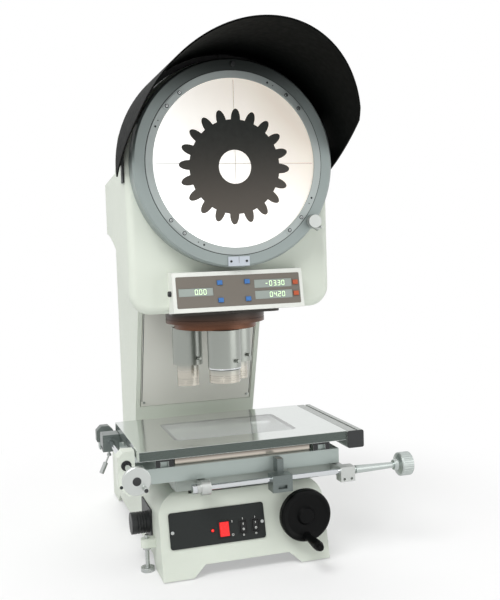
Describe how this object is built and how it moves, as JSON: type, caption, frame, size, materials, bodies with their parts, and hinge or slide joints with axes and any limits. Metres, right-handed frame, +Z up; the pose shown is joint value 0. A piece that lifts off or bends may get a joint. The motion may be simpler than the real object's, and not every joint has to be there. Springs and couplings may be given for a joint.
{
  "type": "optical comparator",
  "caption": "Bench-top vertical profile projector: hooded round screen head on a raked column, lens turret, cross-slide stage with glass top and rack-driven lift on a cast base.",
  "frame": {"origin": "on the bench under the middle of the base, between its levelling feet", "axes": "+X right as seen by the operator, +Y to the rear, +Z up"},
  "size_m": [0.6504, 0.9652, 1.108],
  "materials": {
    "paint": "satin",
    "black_paint": "satin",
    "panel": "matte",
    "ring_paint": "satin",
    "steel": "satin",
    "chrome": "polished",
    "alloy": "satin",
    "iron": "satin",
    "turret": "satin",
    "screen": "frosted",
    "glass": "polished",
    "mirror": "polished",
    "black_plastic": "matte",
    "red_plastic": "gloss",
    "blue_key": "satin",
    "orange_key": "satin",
    "readout": "satin",
    "display": "gloss"
  },
  "bodies": {
    "frame": {"base_casting": "paint", "base_bottom_cover": "steel", "control_panel": "panel", "column_casting": "paint", "column_front_plate": "paint", "column_rear_cover": "paint", "head_casting": "paint", "ring_housing": "ring_paint", "hood": "black_paint", "hood_brackets": "black_paint", "dro_housing": "paint", "dro_panel": "readout", "display_windows": "display", "turret_bearing": "turret", "mirrors": "mirror", "mirror_brackets": "black_paint", "lamp_house": "black_paint", "lamp_bulb": "glass", "condenser_lens": "glass", "fan_housing": "black_plastic", "power_supply": "steel", "mains_inlet": "black_plastic", "knee_guides": "steel", "levelling_feet": "steel", "casing_screws": "steel"},
    "ring": {"screen_ring": "ring_paint", "screen_glass": "screen", "screen_clips": "steel"},
    "ring_knob": {"ring_knob": "alloy"},
    "ring_clamp": {"ring_clamp": "black_plastic"},
    "turret": {"turret_disc": "turret", "lens_barrels": "alloy", "objective_lenses": "glass"},
    "z_wheel": {"z_pinion": "steel", "z_handwheel": "black_plastic"},
    "z_handle": {"z_handle": "black_plastic"},
    "knee": {"knee_casting": "iron", "knee_rack": "steel", "x_rod_brackets": "alloy"},
    "saddle": {"saddle_plate": "iron", "y_rod_brackets": "alloy", "x_nut_block": "alloy"},
    "table": {"table_plate": "steel", "stage_glass": "glass", "y_nut_block": "alloy", "scale_bar": "alloy"},
    "x_rod": {"x_rod": "chrome"},
    "y_rod": {"y_rod": "chrome"},
    "y_lever": {"y_release_lever": "steel"},
    "fan": {"fan_rotor": "black_plastic"},
    "key_zero_left": {"key_zero_left": "blue_key"},
    "key_set_left": {"key_set_left": "blue_key"},
    "key_unit_left": {"key_unit_left": "blue_key"},
    "key_mode_left": {"key_mode_left": "blue_key"},
    "key_zero_x": {"key_zero_x": "orange_key"},
    "key_zero_y": {"key_zero_y": "orange_key"},
    "power_rocker": {"power_rocker": "red_plastic"},
    "contour_rocker": {"contour_rocker": "black_plastic"},
    "surface_rocker": {"surface_rocker": "black_plastic"}
  },
  "joints": [
    {"name": "z_lift", "type": "slide", "parent": "frame", "child": "knee", "axis": [0, 0, 1], "range_m": [0, 0.065]},
    {"name": "z_wheel_spin", "type": "hinge", "parent": "frame", "child": "z_wheel", "pos_m": [0.126, -0.3, 0.112], "axis": [0, 1, 0], "range_deg": [0, 210]},
    {"name": "z_handle_spin", "type": "hinge", "parent": "z_wheel", "child": "z_handle", "pos_m": [0.126, -0.4, 0.068], "axis": [0, 1, 0], "continuous": true},
    {"name": "x_slide", "type": "slide", "parent": "knee", "child": "saddle", "axis": [1, 0, 0], "range_m": [-0.075, 0.075]},
    {"name": "y_slide", "type": "slide", "parent": "saddle", "child": "table", "axis": [0, 1, 0], "range_m": [-0.05, 0.05]},
    {"name": "x_rod_spin", "type": "hinge", "parent": "knee", "child": "x_rod", "pos_m": [0, -0.371, 0.203], "axis": [1, 0, 0], "range_deg": [-680, 680]},
    {"name": "y_rod_spin", "type": "hinge", "parent": "saddle", "child": "y_rod", "pos_m": [-0.25, -0.2, 0.251], "axis": [0, 1, 0], "range_deg": [-455, 455]},
    {"name": "y_release", "type": "hinge", "parent": "table", "child": "y_lever", "pos_m": [-0.254, -0.084, 0.23], "axis": [0, 0, 1], "range_deg": [0, 60]},
    {"name": "ring_spin", "type": "hinge", "parent": "frame", "child": "ring", "pos_m": [0, -0.32, 0.87], "axis": [0, 1, 0], "continuous": true},
    {"name": "ring_knob_spin", "type": "hinge", "parent": "frame", "child": "ring_knob", "pos_m": [0.16801, -0.32, 0.74568], "axis": [0, 1, 0], "continuous": true},
    {"name": "ring_clamp_turn", "type": "hinge", "parent": "frame", "child": "ring_clamp", "pos_m": [0.16801, -0.321, 0.74568], "axis": [0.8039, 0, -0.5948], "range_deg": [0, 60]},
    {"name": "turret_spin", "type": "hinge", "parent": "frame", "child": "turret", "pos_m": [0, -0.13, 0.53], "axis": [0, 0, 1], "continuous": true},
    {"name": "power_rocker_tilt", "type": "hinge", "parent": "frame", "child": "power_rocker", "pos_m": [-0.047, -0.31929, 0.0919], "axis": [1, 0, 0], "range_deg": [0, 9]},
    {"name": "contour_rocker_tilt", "type": "hinge", "parent": "frame", "child": "contour_rocker", "pos_m": [-0.005, -0.31929, 0.0919], "axis": [1, 0, 0], "range_deg": [0, 9]},
    {"name": "surface_rocker_tilt", "type": "hinge", "parent": "frame", "child": "surface_rocker", "pos_m": [0.023, -0.31929, 0.0919], "axis": [1, 0, 0], "range_deg": [0, 9]},
    {"name": "key_zero_left_press", "type": "slide", "parent": "frame", "child": "key_zero_left", "axis": [0, 0.9816, -0.1908], "range_m": [0, 0.0012], "stiffness_N_per_m": 600},
    {"name": "key_set_left_press", "type": "slide", "parent": "frame", "child": "key_set_left", "axis": [0, 0.9816, -0.1908], "range_m": [0, 0.0012], "stiffness_N_per_m": 600},
    {"name": "key_unit_left_press", "type": "slide", "parent": "frame", "child": "key_unit_left", "axis": [0, 0.9816, -0.1908], "range_m": [0, 0.0012], "stiffness_N_per_m": 600},
    {"name": "key_mode_left_press", "type": "slide", "parent": "frame", "child": "key_mode_left", "axis": [0, 0.9816, -0.1908], "range_m": [0, 0.0012], "stiffness_N_per_m": 600},
    {"name": "key_zero_x_press", "type": "slide", "parent": "frame", "child": "key_zero_x", "axis": [0, 0.9816, -0.1908], "range_m": [0, 0.0012], "stiffness_N_per_m": 600},
    {"name": "key_zero_y_press", "type": "slide", "parent": "frame", "child": "key_zero_y", "axis": [0, 0.9816, -0.1908], "range_m": [0, 0.0012], "stiffness_N_per_m": 600},
    {"name": "fan_spin", "type": "hinge", "parent": "frame", "child": "fan", "pos_m": [0, 0.31, 0.33], "axis": [0, 1, 0], "continuous": true}
  ],
  "couplings": [
    {"joint": "z_wheel_spin", "follows": "z_lift", "rad_per_m": 55.556},
    {"joint": "x_rod_spin", "follows": "x_slide", "rad_per_m": 157.08},
    {"joint": "y_rod_spin", "follows": "y_slide", "rad_per_m": 157.08},
    {"joint": "ring_knob_spin", "follows": "ring_spin", "ratio": -18.324}
  ]
}
